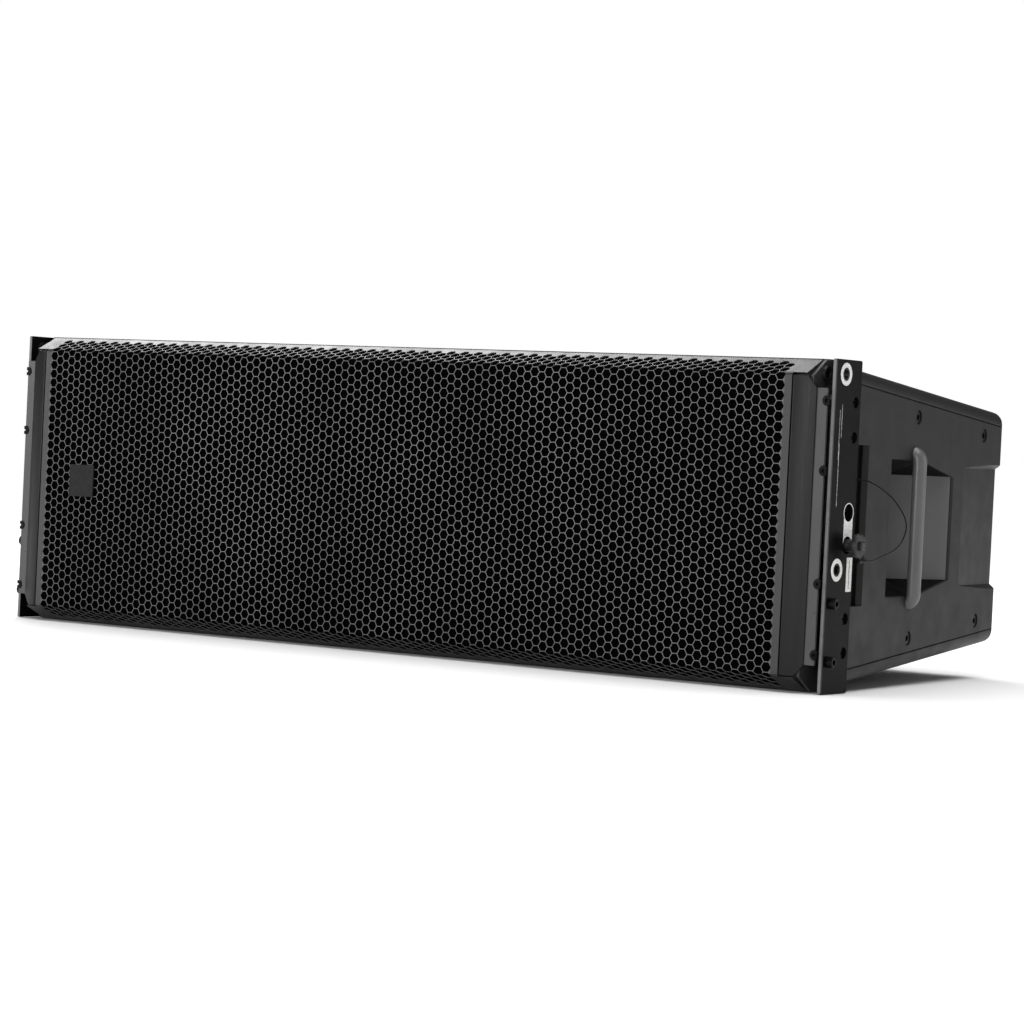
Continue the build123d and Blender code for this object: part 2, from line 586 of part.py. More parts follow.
route = [Vector(x, back(d), z) for x, d, z in CORD_ROUTE]
radii = cord_radii(route)
print("lanyard radii", [round(r, 1) for r in radii])
with BuildPart() as lanyard:
    with BuildLine() as cord_line:
        FilletPolyline(*route, radius=radii)
    with BuildSketch(Plane(origin=cord_line.line @ 0, z_dir=cord_line.line % 0)):
        Circle(CORD_D / 2)
    sweep()
cord_length = sum(edge.length for edge in cord_line.line.edges())
print("lanyard length", round(cord_length, 1), "volume ratio",
      round(lanyard.part.volume / (cord_length * pi * CORD_D ** 2 / 4), 4))
save(lanyard.part, "lanyard")

save(rod_x(ANCHOR_D, ANCHOR_Z, FITTING_R, SLOT_X, ANCHOR_X), "lanyard_anchor")

with BuildPart() as ferrule:
    add(rod_y(HEAD_X, FERRULE_Z, FITTING_R, FERRULE_D0, FERRULE_D1))
    add(block(HEAD_X - 1.2, HEAD_X + 1.2, FERRULE_D0, FERRULE_D0 + 4, FERRULE_Z, FERRULE_Z + 8))
    add(rod_x(PIN_D, PIN_Z, HEAD_R, HEAD_X0, HEAD_X1), mode=Mode.SUBTRACT)
save(ferrule.part, "lanyard_ferrule")


# ---------------------------------------------------------------- handles

with BuildPart() as handle_cup:
    add(cup_loft(CUP_WALL, CUP_RIM, CUP_DEPTH + CUP_WALL))
    add(cup_loft(0, 0, CUP_DEPTH), mode=Mode.SUBTRACT)
    add(bar_profile_path(0.3), mode=Mode.SUBTRACT)
save_pair(handle_cup.part, "handle_cup")

save_pair(bar_profile_path(0), "handle_bar")

with BuildPart() as handle_bolts:
    leg_x = side_x(BAR_D) + BAR_OUT - BAR_LEG
    for z in (BAR_Z - BAR_LEN / 2 + BAR_A, BAR_Z + BAR_LEN / 2 - BAR_A):
        add(rod_x(BAR_D, z, 8, leg_x - 2, leg_x))
        add(rod_x(BAR_D, z, 5, leg_x - 7, leg_x - 2))
save(both(handle_bolts.part), "handle_bolts")

with BuildPart() as side_screws:
    for depth, z in SIDE_SCREWS:
        with BuildSketch(side_plane(depth, z, 0.1 - SIDE_SINK)):
            Circle(SIDE_HEAD_R)
        extrude(amount=2.6)
        with BuildSketch(side_plane(depth, z, -SIDE_T)):
            Circle(SIDE_SHANK_R)
        extrude(amount=SIDE_T + 0.1 - SIDE_SINK)
        with BuildSketch(side_plane(depth, z, 1 - SIDE_SINK)):
            RegularPolygon(3.6, 6)
        extrude(amount=4, mode=Mode.SUBTRACT)
save(both(side_screws.part), "side_screws")


# ---------------------------------------------------------------- drive units

def driver_depth(depth, size):
    """Depth of a point of a drive unit, scaled about the baffle's front face."""
    return SHELL_D + (depth - SHELL_D) * size


def driver_ring(x, z, size, points):
    """A turned piece of a drive unit: the points are those of the larger unit."""
    return spun(x, z, [(r * size, driver_depth(d, size)) for r, d in points])


def basket(x, z, size):
    """The pressed frame, with six windows in its cone."""
    ring = driver_ring(x, z, size, [(126, 60), (150, 60), (150, 66), (134, 66), (134, 70),
                                    (72, 140), (54, 140), (54, 136), (69, 136), (129, 70),
                                    (129, 66), (126, 66)])
    with BuildPart() as frame:
        add(ring)
        for turn in range(6):
            angle = turn * pi / 3
            centre = (x + 102 * size * cos(angle), z + 102 * size * sin(angle))
            add(rod_y(*centre, 17 * size, driver_depth(80, size), driver_depth(135, size)),
                mode=Mode.SUBTRACT)
    return frame.part


def surround(x, z, size):
    """The half-roll that lets the cone travel, on the frame's front face."""
    def roll(radius, angles):
        return [(120 + radius * cos(a), 59.7 - radius * sin(a)) for a in angles]
    steps = [i * pi / 10 for i in range(11)]
    outer = roll(8, steps[1:])
    inner = roll(6.4, reversed(steps))
    return driver_ring(x, z, size, [(136, 58.1), *outer, *inner, (136, 59.7)])


def cone(x, z, size):
    """Cone, dust cap and voice-coil former, which travel as one."""
    return driver_ring(x, z, size, [(0, 96), (20, 98.5), (38, 106), (109.5, 58.5), (111.5, 58.5),
                                    (111.5, 61), (39.5, 111), (39.5, 148), (38, 148), (38, 109),
                                    (20, 101), (0, 98.5)])


def motor(x, z, size):
    """Magnet and pole pieces, with the gap that the voice coil moves in."""
    return driver_ring(x, z, size, [(0, 140.2), (36.5, 140.2), (36.5, 172), (41.5, 172),
                                    (41.5, 140.2), (78, 140.2), (80, 143), (80, 170),
                                    (74, 172), (80, 174), (80, 194), (78, 196), (0, 196)])


WOOFER_PLACES = [(WOOFER_X, MID_Z)]
MID_PLACES = [(MID_X, MID_Z - MID_OFFSET), (MID_X, MID_Z + MID_OFFSET)]
PIECES = [("frames", basket), ("surrounds", surround), ("cones", cone), ("motors", motor)]
for unit, places, size in (("woofer", WOOFER_PLACES, WOOFER_R / 150), ("mid", MID_PLACES, MID_R / 150)):
    for piece_name, make in PIECES:
        solids = [make(x, z, size) for x, z in places]
        save(both(Compound(children=solids)), f"{unit}_{piece_name}")

with BuildPart() as driver_screws:
    for places, radius, count in ((WOOFER_PLACES, WOOFER_R, 8), (MID_PLACES, MID_R, 4)):
        ring = radius - SCREW_INSET * radius / WOOFER_R
        front = driver_depth(60, radius / WOOFER_R)
        for x, z in places:
            for turn in range(count):
                angle = (turn + 0.5) * 2 * pi / count
                add(rod_y(x + ring * cos(angle), z + ring * sin(angle), 2.6, front - 2, front))
save(both(driver_screws.part), "driver_screws")

with BuildPart() as waveguide:
    for wall, mode in ((HORN_WALL, Mode.ADD), (0, Mode.SUBTRACT)):
        with BuildSketch(Plane.XZ.offset(-back(SHELL_D))):
            with Locations((0, MID_Z)):
                Rectangle(2 * (HORN_HALF - 9 + wall), 2 * (HORN_HALF_H - 9 + wall))
        with BuildSketch(Plane.XZ.offset(-back(THROAT_D))):
            with Locations((0, MID_Z)):
                Rectangle(2 * (THROAT_HALF + wall), 2 * (THROAT_HALF_H + wall))
        loft(ruled=True, mode=mode)
        with BuildSketch(Plane.XZ.offset(-back(SHELL_D))):
            with Locations((0, MID_Z)):
                Rectangle(2 * (HORN_HALF if wall else HORN_HALF - 9),
                          2 * (HORN_HALF_H if wall else HORN_HALF_H - 9))
        extrude(amount=HORN_WALL, mode=mode)
    with BuildSketch(Plane.XZ.offset(-back(THROAT_D))):
        with Locations((0, MID_Z)):
            Rectangle(2 * HF_R, 2 * (THROAT_HALF_H + 3))
            with Locations((0, -HF_OFFSET), (0, HF_OFFSET)):
                Circle(THROAT_HALF + 5, mode=Mode.SUBTRACT)
    extrude(amount=-8)
save(waveguide.part, "waveguide")

with BuildPart() as hf_drivers:
    with Locations((0, 0, -HF_OFFSET), (0, 0, HF_OFFSET)):
        add(rod_y(0, MID_Z, HF_R, THROAT_D + 8, THROAT_D + 8 + HF_LEN))
    rims = hf_drivers.faces().filter_by(Plane.XZ).group_by(Axis.Y)[-1].edges()
    fillet(rims, radius=6)
save(hf_drivers.part, "hf_drivers")

BOARD_X, BOARD_D, BOARD_Z = PARTITION_X - 6 - 4, 300.0, 170.0
save(block(BOARD_X, BOARD_X + 4, BOARD_D - 100, BOARD_D + 100, BOARD_Z - 85, BOARD_Z + 85),
     "crossover_board")

with BuildPart() as crossover_parts:
    for step in (-1, 0, 1):
        coil_d, coil_z = BOARD_D + 62 * step, BOARD_Z + 42
        add(rod_x(coil_d, coil_z, 26, BOARD_X - 24, BOARD_X))
        add(rod_x(coil_d, coil_z, 9, BOARD_X - 25, BOARD_X + 1), mode=Mode.SUBTRACT)
        add(rod_y(BOARD_X - 11, BOARD_Z - 40 + 26 * step, 11, BOARD_D - 45, BOARD_D + 20))
save(crossover_parts.part, "crossover_parts")


# ---------------------------------------------------------------- rear

with BuildPart() as rear_pan:
    add(block(-PAN_HALF, PAN_HALF, PAN_D0, DEPTH, PAN_Z0, PAN_Z1))
    add(block(-PAN_HALF + PAN_T, PAN_HALF - PAN_T, PAN_D0 + PAN_T, DEPTH + 1, PAN_Z0 + PAN_T,
              PAN_Z1 - PAN_T), mode=Mode.SUBTRACT)
    add(block(-NOTCH_HALF, NOTCH_HALF, PAN_D0 + PAN_T, DEPTH + 1, 0, HEIGHT), mode=Mode.SUBTRACT)
save(rear_pan.part, "rear_pan")

with BuildPart() as bracket:
    add(block(-CHEEK_OUT, CHEEK_OUT, PAN_D0 + PAN_T, CHEEK_D1, PAN_Z0 + PAN_T, PAN_Z1 - PAN_T))
    add(block(-CHEEK_IN, CHEEK_IN, PAN_D0 + 2 * PAN_T, CHEEK_D1 + 1, 0, HEIGHT), mode=Mode.SUBTRACT)
    cheek_corners = bracket.edges().filter_by(Axis.X).group_by(Axis.Y)[-1]
    fillet(cheek_corners, radius=9)
    add(rod_x(REAR_PIVOT_D, REAR_PIVOT_Z, PIVOT_R, -CHEEK_OUT - 1, CHEEK_OUT + 1),
        mode=Mode.SUBTRACT)
    add(rod_x(REAR_PIVOT_D, REAR_PIN_Z, PIN_R + PIN_CLEAR, -CHEEK_OUT - 1, CHEEK_OUT + 1),
        mode=Mode.SUBTRACT)
save(bracket.part, "rear_bracket")

with BuildPart() as pivot_bolt:
    add(rod_x(REAR_PIVOT_D, REAR_PIVOT_Z, PIVOT_R, -CHEEK_OUT, CHEEK_OUT))
    for side in (-1, 1):
        with BuildSketch(Plane.YZ.offset(side * CHEEK_OUT)):
            with Locations((back(REAR_PIVOT_D), REAR_PIVOT_Z)):
                RegularPolygon(PIVOT_R * 1.6, 6)
        extrude(amount=side * 5)
save(pivot_bolt.part, "rear_pivot_bolt")

with BuildPart() as rear_link:
    with BuildSketch(Plane.YZ.offset(-REAR_LINK_HALF)):
        with Locations((back(REAR_PIVOT_D), REAR_PIVOT_Z - REAR_LINK_LEN / 2)):
            SlotCenterToCenter(REAR_LINK_LEN, 2 * LINK_END, rotation=90)
        with Locations((back(REAR_PIVOT_D), REAR_PIVOT_Z)):
            Circle(PIVOT_R + PIN_CLEAR, mode=Mode.SUBTRACT)
        with Locations((back(REAR_PIVOT_D), REAR_PIVOT_Z - REAR_LINK_LEN)):
            Circle(PIN_R + 0.3, mode=Mode.SUBTRACT)
    extrude(amount=2 * REAR_LINK_HALF)
save(rear_link.part, "rear_link")

REAR_HEAD_X0 = CHEEK_OUT + 4
with BuildPart() as rear_pin:
    add(rod_x(REAR_PIVOT_D, REAR_PIN_Z, PIN_R, -CHEEK_OUT - 2, CHEEK_OUT))
    chamfer(rear_pin.faces().sort_by(Axis.X)[0].edges(), length=1)
    add(rod_x(REAR_PIVOT_D, REAR_PIN_Z, COLLAR_R, CHEEK_OUT, REAR_HEAD_X0))
    add(rod_x(REAR_PIVOT_D, REAR_PIN_Z, REAR_HEAD_R, REAR_HEAD_X0, REAR_HEAD_X0 + 5))
    add(pin_button(REAR_PIVOT_D, REAR_PIN_Z, REAR_HEAD_X0 - 2, REAR_HEAD_X0 + 6, 0.2),
        mode=Mode.SUBTRACT)
save(rear_pin.part, "rear_pin")

save(pin_button(REAR_PIVOT_D, REAR_PIN_Z, REAR_HEAD_X0 + 0.5, REAR_HEAD_X0 + 8, 0),
     "rear_pin_button")

with BuildPart() as input_plate:
    with BuildSketch(Plane.XZ.offset(-back(DEPTH - INPUT_SET - INPUT_T))):
        with Locations((INPUT_X, MID_Z)):
            RectangleRounded(INPUT_W - 0.4, INPUT_H - 0.4, 3)
            with GridLocations(SOCKET_PITCH, 0, 2, 1):
                Circle(SOCKET_R, mode=Mode.SUBTRACT)
    extrude(amount=-INPUT_T)
save(input_plate.part, "input_plate")

SOCKET_FACE = DEPTH - INPUT_SET
with BuildPart() as sockets:
    with BuildSketch(Plane.XZ.offset(-back(SOCKET_FACE))):
        with Locations((INPUT_X, MID_Z)):
            with GridLocations(SOCKET_PITCH, 0, 2, 1):
                RectangleRounded(*SOCKET_FLANGE, 4)
    extrude(amount=-(INPUT_SET - 1))
    with BuildSketch(Plane.XZ.offset(-back(SOCKET_FACE))):
        with Locations((INPUT_X, MID_Z)):
            with GridLocations(SOCKET_PITCH, 0, 2, 1):
                Circle(SOCKET_R - 0.1)
    extrude(amount=SOCKET_LEN)
    with BuildSketch(Plane.XZ.offset(-back(DEPTH))):
        with Locations((INPUT_X, MID_Z)):
            with GridLocations(SOCKET_PITCH, 0, 2, 1):
                Circle(SOCKET_R - 3)
                Circle(SOCKET_R - 6, mode=Mode.SUBTRACT)
    extrude(amount=SOCKET_LEN - 8, mode=Mode.SUBTRACT)
save(sockets.part, "input_sockets")
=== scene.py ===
"""Looks of the line array loudspeaker: perforated grille, painted cabinet, rigging and lanyard."""
import json
import math
import bmesh
import bpy
from mathutils import Matrix, Vector


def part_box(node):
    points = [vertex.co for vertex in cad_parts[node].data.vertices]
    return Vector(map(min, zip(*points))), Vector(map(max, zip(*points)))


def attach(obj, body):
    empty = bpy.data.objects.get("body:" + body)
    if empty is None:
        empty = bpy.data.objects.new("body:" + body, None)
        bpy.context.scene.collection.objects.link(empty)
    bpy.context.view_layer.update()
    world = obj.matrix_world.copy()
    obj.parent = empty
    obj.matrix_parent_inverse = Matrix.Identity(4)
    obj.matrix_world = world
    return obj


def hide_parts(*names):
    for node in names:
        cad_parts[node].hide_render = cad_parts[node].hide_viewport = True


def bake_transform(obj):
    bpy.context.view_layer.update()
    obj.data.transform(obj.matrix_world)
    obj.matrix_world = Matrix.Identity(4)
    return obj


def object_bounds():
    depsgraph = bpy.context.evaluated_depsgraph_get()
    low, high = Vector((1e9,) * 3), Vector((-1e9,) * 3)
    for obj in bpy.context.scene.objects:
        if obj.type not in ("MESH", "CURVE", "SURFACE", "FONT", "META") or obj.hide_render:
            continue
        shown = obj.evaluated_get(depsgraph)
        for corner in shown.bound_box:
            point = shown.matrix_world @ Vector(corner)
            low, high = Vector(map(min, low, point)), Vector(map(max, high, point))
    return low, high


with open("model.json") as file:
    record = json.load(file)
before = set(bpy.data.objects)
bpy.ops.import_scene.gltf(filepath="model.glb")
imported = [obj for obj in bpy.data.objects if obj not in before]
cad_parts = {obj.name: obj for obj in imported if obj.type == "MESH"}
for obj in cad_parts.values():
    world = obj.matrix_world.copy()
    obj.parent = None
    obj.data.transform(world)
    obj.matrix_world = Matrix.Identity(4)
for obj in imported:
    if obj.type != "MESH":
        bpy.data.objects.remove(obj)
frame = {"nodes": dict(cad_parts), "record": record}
cad_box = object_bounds()
MM = 0.001


# ---------------------------------------------------------------- sizes, in metres

GRILLE_LOW, GRILLE_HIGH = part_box("grille")
FRAME_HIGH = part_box("front_frame")[1]
PLATE_LOW, PLATE_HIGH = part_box("rigging_plate_right")
MID_Z = (PLATE_LOW.z + PLATE_HIGH.z) / 2
FACE_Y = GRILLE_LOW.y                   # the grille's flat face
PLATE_X = PLATE_HIGH.x                  # outer face of the right rigging plate

HOLE_PITCH = 10.94 * MM                 # vertical distance between holes
WEB = 0.8 * MM                          # metal between two holes
HOLE_COLUMNS = 110
SHEET_T = 0.8 * MM
LATTICE_DROP = 2.4 * MM                 # how far the rows of holes sit below the middle
BEVEL_RISE = 16.5 * MM                  # height of the sloped part
BEVEL_RUN = GRILLE_HIGH.y - GRILLE_LOW.y
PANEL_HALF = (GRILLE_HIGH.x - GRILLE_LOW.x) / 2
WING_HALF = FRAME_HIGH.x - 0.2 * MM
BORDER_IN, BORDER_OUT = 518.5 * MM, 522.5 * MM      # where the holes give way to the plain border
PLATE_FRONT_Y = 227 * MM                # the plate's front edge lies beyond this distance in Y

# Rigging plate, in millimetres behind the grille's face and above the ground
BORE_D, BORE_ZS = 34.4, (130.0, 334.5)
BORE_R, BORE_LIP, BORE_SHADE_R = 5.25, 0.6, 7.0
PIN_D, PIN_Z, LOCK_Z = 54.8, 156.0, 190.0
ACCESS_R = 9.3


# ---------------------------------------------------------------- camera

def make_camera():
    """The viewpoint: in front, to the right, level with the cabinet's middle, with a long lens."""
    yaw, pitch, roll = math.radians(35.17), math.radians(1.22), math.radians(2.79)
    ahead = Vector((-math.sin(yaw) * math.cos(pitch), math.cos(yaw) * math.cos(pitch),
                    -math.sin(pitch)))
    level = Vector((math.cos(yaw), math.sin(yaw), 0))
    above = level.cross(ahead)
    right = level * math.cos(roll) + above * math.sin(roll)
    up = above * math.cos(roll) - level * math.sin(roll)
    data = bpy.data.cameras.new("camera")
    data.sensor_width = 36
    data.lens = 112.3
    data.clip_end = 60
    cam = bpy.data.objects.new("camera", data)
    bpy.context.scene.collection.objects.link(cam)
    cam.matrix_world = Matrix.Translation((2.2157, FACE_Y - 2.8858, 0.2451)) @ Matrix(
        (right, up, -ahead)).transposed().to_4x4()
    bpy.context.scene.camera = cam


make_camera()


# ---------------------------------------------------------------- materials

class Surface:
    """A principled material whose colour, roughness and bump come from nodes."""

    def __init__(self, name, roughness=0.5, **constants):
        self.material = bpy.data.materials.new(name)
        self.material.use_nodes = True
        self.tree = self.material.node_tree
        self.shader = self.tree.nodes["Principled BSDF"]
        self.shader.inputs["Roughness"].default_value = roughness
        for key, value in constants.items():
            self.shader.inputs[key.replace("_", " ")].default_value = value
        self.place = self.node("ShaderNodeTexCoord").outputs["Object"]
        self.height = None

    def node(self, kind, **settings):
        made = self.tree.nodes.new(kind)
        for key, value in settings.items():
            setattr(made, key, value)
        return made

    def link(self, a, b):
        self.tree.links.new(a, b)

    def stretched(self, scale):
        mapping = self.node("ShaderNodeMapping")
        mapping.inputs["Scale"].default_value = scale
        self.link(self.place, mapping.inputs["Vector"])
        return mapping.outputs["Vector"]

    def noise(self, scale, detail=3.0, stretch=(1, 1, 1), roughness=0.5):
        made = self.node("ShaderNodeTexNoise")
        made.inputs["Scale"].default_value = scale
        made.inputs["Detail"].default_value = detail
        made.inputs["Roughness"].default_value = roughness
        self.link(self.stretched(stretch), made.inputs["Vector"])
        return made.outputs["Fac"]

    def ramp(self, source, low, high, to_low=0.0, to_high=1.0):
        made = self.node("ShaderNodeMapRange")
        for key, value in (("From Min", low), ("From Max", high), ("To Min", to_low),
                           ("To Max", to_high)):
            made.inputs[key].default_value = value
        self.link(source, made.inputs["Value"])
        return made.outputs["Result"]

    def mix(self, factor, first, second):
        made = self.node("ShaderNodeMix", data_type="RGBA")
        for key, value in ((6, first), (7, second)):
            if isinstance(value, tuple):
                made.inputs[key].default_value = (*value, 1)
            else:
                self.link(value, made.inputs[key])
        self.link(factor, made.inputs[0])
        return made.outputs[2]

    def facing(self, axis, low, high):
        """How much a face points along an axis of the object, either way."""
        split = self.node("ShaderNodeSeparateXYZ")
        self.link(self.node("ShaderNodeNewGeometry").outputs["True Normal"],
                  split.inputs["Vector"])
        size = self.node("ShaderNodeMath", operation="ABSOLUTE")
        self.link(split.outputs[axis.upper()], size.inputs[0])
        return self.ramp(size.outputs[0], low, high)

    def across(self, axis, low, high):
        """Rises from 0 to 1 along an axis of the object, counted from its middle either way."""
        split = self.node("ShaderNodeSeparateXYZ")
        self.link(self.place, split.inputs["Vector"])
        size = self.node("ShaderNodeMath", operation="ABSOLUTE")
        self.link(split.outputs[axis.upper()], size.inputs[0])
        return self.ramp(size.outputs[0], low, high)

    def times(self, one, two):
        made = self.node("ShaderNodeMath", operation="MULTIPLY")
        self.link(one, made.inputs[0])
        self.link(two, made.inputs[1])
        return made.outputs[0]

    def colour(self, source):
        self.link(source, self.shader.inputs["Base Color"])
        return self

    def rough(self, source):
        self.link(source, self.shader.inputs["Roughness"])
        return self

    def bump(self, source, strength, distance):
        made = self.node("ShaderNodeBump")
        made.inputs["Strength"].default_value = strength
        made.inputs["Distance"].default_value = distance
        self.link(source, made.inputs["Height"])
        if self.height is not None:
            self.link(self.height, made.inputs["Normal"])
        self.height = made.outputs["Normal"]
        self.link(self.height, self.shader.inputs["Normal"])
        return self

    def eased(self, radius):
        """Softens hard edges so that they catch the light."""
        made = self.node("ShaderNodeBevel", samples=4)
        made.inputs["Radius"].default_value = radius
        self.height = made.outputs["Normal"]
        self.link(self.height, self.shader.inputs["Normal"])
        return self


def painted(name, dark, pale, roughness, grain, grain_depth, edge=0.6 * MM, shine=0.5,
            painted_shade_faces=None, highlight_faces=None, ramp_highlight_tone=None, sheen_free_border_tone=None):
    """Sprayed paint: a fine orange-peel grain, slow changes of tone and slightly worn gloss.

    painted_shade_faces names the axis of faces painted almost black as painted shade, and
    highlight_faces that of a front edge painted paler in patches as a painted highlight.
    ramp_highlight_tone paints faces that slope in Y lighter, as a painted highlight, and
    sheen_free_border_tone gives a plain border beside holes a darker tone than the perforated
    field, whose paler tone is a painted highlight on the webs; it also paints faces that slope
    in Z darker, as painted shade.
    """
    s = Surface(name, roughness, Specular_IOR_Level=shine).eased(edge)
    paint = s.mix(s.ramp(s.noise(7, 5), 0.35, 0.7), dark, pale)
    if ramp_highlight_tone:
        # Faces that slope in Y, the handle pocket's ramp, are painted lighter: painted highlight.
        paint = s.mix(s.facing("y", 0.18, 0.28), paint, ramp_highlight_tone)
    if sheen_free_border_tone:
        # The perforated field keeps the paler tone, a painted highlight on the webs; the plain
        # border beside the holes is darker.
        paint = s.mix(s.across("x", BORDER_IN, BORDER_OUT), paint, sheen_free_border_tone)
        # Faces that slope in Z, the grille's folded bands, are painted darker: painted shade.
        painted_slope_shade = s.facing("z", 0.3, 0.6)
        paint = s.mix(painted_slope_shade, paint, (0.008, 0.008, 0.008))
    if painted_shade_faces:
        # Faces along this axis, the handle pocket's ceiling and floor, are painted almost black:
        # painted shade.
        painted_shade = s.facing(painted_shade_faces, 0.5, 0.7)
        paint = s.mix(painted_shade, paint, (0.001, 0.001, 0.001))
    if highlight_faces:
        # The rigging plate's front edge faces are painted paler in patches: painted highlight.
        wear_and_highlight_patches = s.ramp(s.noise(90, 6, roughness=0.7), 0.2, 0.5, 0.55, 1)
        front_only = s.across(highlight_faces, PLATE_FRONT_Y - MM, PLATE_FRONT_Y + MM)
        edge_only = s.times(s.facing(highlight_faces, 0.6, 0.9), front_only)
        paint = s.mix(s.times(edge_only, wear_and_highlight_patches), paint, (0.17, 0.17, 0.17))
    s.colour(paint)
    s.rough(s.ramp(s.noise(38, 4), 0.3, 0.75, roughness - 0.05, roughness + 0.07))
    s.bump(s.noise(grain, 4, roughness=0.65), 0.55, grain_depth)
    return s.material


def brushed(name, dark, pale, roughness, along, metallic=1.0):
    """Brushed metal: long fine streaks along one axis."""
    s = Surface(name, roughness, Metallic=metallic, Specular_IOR_Level=0.3).eased(0.5 * MM)
    stretch = [30.0, 30.0, 30.0]
    stretch["xyz".index(along)] = 0.6
    streaks = s.noise(28, 6, tuple(stretch), 0.7)
    s.colour(s.mix(s.ramp(streaks, 0.3, 0.7), dark, pale))
    s.rough(s.ramp(streaks, 0.3, 0.7, roughness - 0.08, roughness + 0.1))
    s.bump(streaks, 0.25, 0.05 * MM)
    return s.material


def foam_material():
    """Open-cell foam, black, made almost pure black as painted shade behind the grille's holes."""
    s = Surface("open_cell_foam", 1.0, Specular_IOR_Level=0.0)
    cells = s.node("ShaderNodeTexVoronoi")
    cells.inputs["Scale"].default_value = 900
    s.link(s.place, cells.inputs["Vector"])
    # The pits of the cells are painted darker: painted shade; the same pattern gives the bump.
    depth = s.ramp(cells.outputs["Distance"], 0.0, 0.6)
    s.colour(s.mix(depth, (0.0002, 0.0002, 0.0002), (0.0018, 0.0018, 0.0018)))
    s.bump(depth, 0.8, 0.6 * MM)
    return s.material


def ring_material():
    """White enamelled rings, worn grey in places, on blackened bushes."""
    s = Surface("bush_steel", 0.4)
    outer = s.times(s.across("x", PLATE_X + 0.2 * MM, PLATE_X + 0.3 * MM),
                    s.facing("x", 0.5, 0.6))
    wear_and_highlight_patches = s.ramp(s.noise(700, 4, roughness=0.7), 0.34, 0.5)
    white = s.mix(wear_and_highlight_patches, (0.3, 0.3, 0.3), (0.75, 0.75, 0.73))
    steel = s.mix(s.noise(200, 4), (0.003, 0.003, 0.003), (0.012, 0.012, 0.012))
    s.colour(s.mix(outer, steel, white))
    s.bump(s.noise(900, 3), 0.2, 0.05 * MM)
    return s.material


def marking_material(name, tone, wear):
    """A printed mark or label, with paint worn thin in places."""
    s = Surface(name, 0.45)
    wear_and_highlight_patches = s.ramp(s.noise(420, 5, roughness=0.7), wear, wear + 0.16)
    s.colour(s.mix(wear_and_highlight_patches, (0.16, 0.16, 0.16), tone))
    s.bump(s.noise(900, 3), 0.2, 0.05 * MM)
    return s.material


def plated(name, dark, pale, roughness):
    """Plated or blackened steel with small blotches and handling marks."""
    s = Surface(name, roughness, Metallic=0.9).eased(0.5 * MM)
    s.colour(s.mix(s.ramp(s.noise(160, 5, roughness=0.65), 0.35, 0.7), dark, pale))
    s.rough(s.ramp(s.noise(300, 4), 0.3, 0.7, roughness - 0.1, roughness + 0.12))
    s.bump(s.noise(1400, 3), 0.25, 0.04 * MM)
    return s.material


def moulded(name, dark, pale, roughness, scale=1500, shine=0.5):
    """Moulded plastic or rubber with a fine spark-eroded grain."""
    s = Surface(name, roughness, Specular_IOR_Level=shine).eased(0.4 * MM)
    s.colour(s.mix(s.ramp(s.noise(60, 4), 0.35, 0.7), dark, pale))
    s.rough(s.ramp(s.noise(200, 3), 0.3, 0.7, roughness - 0.05, roughness + 0.08))
    s.bump(s.noise(scale, 3), 0.4, 0.05 * MM)
    return s.material


